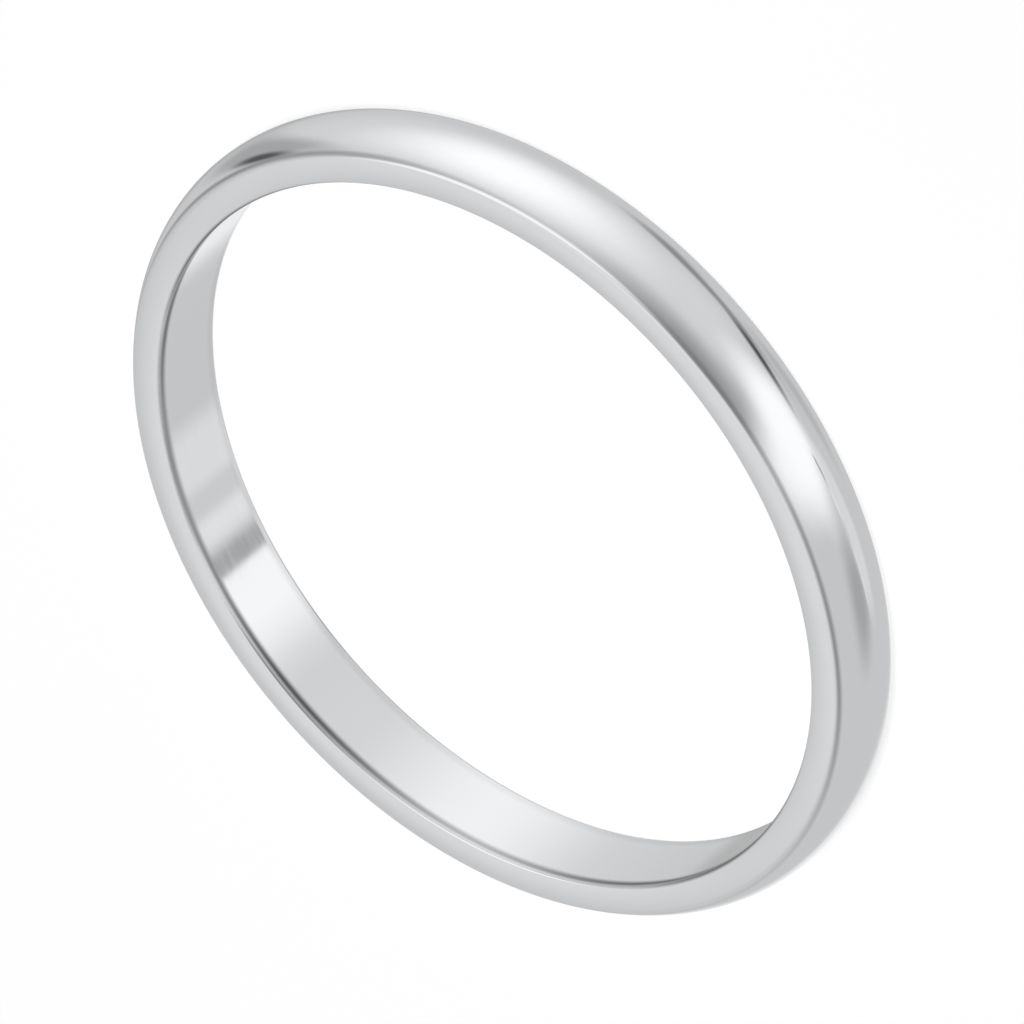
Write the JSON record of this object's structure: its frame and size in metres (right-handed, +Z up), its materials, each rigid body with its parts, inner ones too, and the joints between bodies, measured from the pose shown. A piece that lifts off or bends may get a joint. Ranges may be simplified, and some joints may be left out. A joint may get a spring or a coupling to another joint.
{
  "type": "stackable ring",
  "caption": "Slim plain polished finger ring with a low domed outside, flat side faces that stack flush against other bands, and a straight round finger hole.",
  "frame": {"origin": "centre of the finger hole in the plane of the lower side face, which the ring lies on", "axes": "+Z up along the ring's axis, out of the finger hole; +X and +Y are any two square directions across the round band"},
  "size_m": [0.0194, 0.0194, 0.002],
  "materials": {
    "polished_silver": "mirror-polished sterling silver with faint buffing lines"
  },
  "bodies": {
    "root": {"band": "polished_silver"}
  },
  "joints": []
}
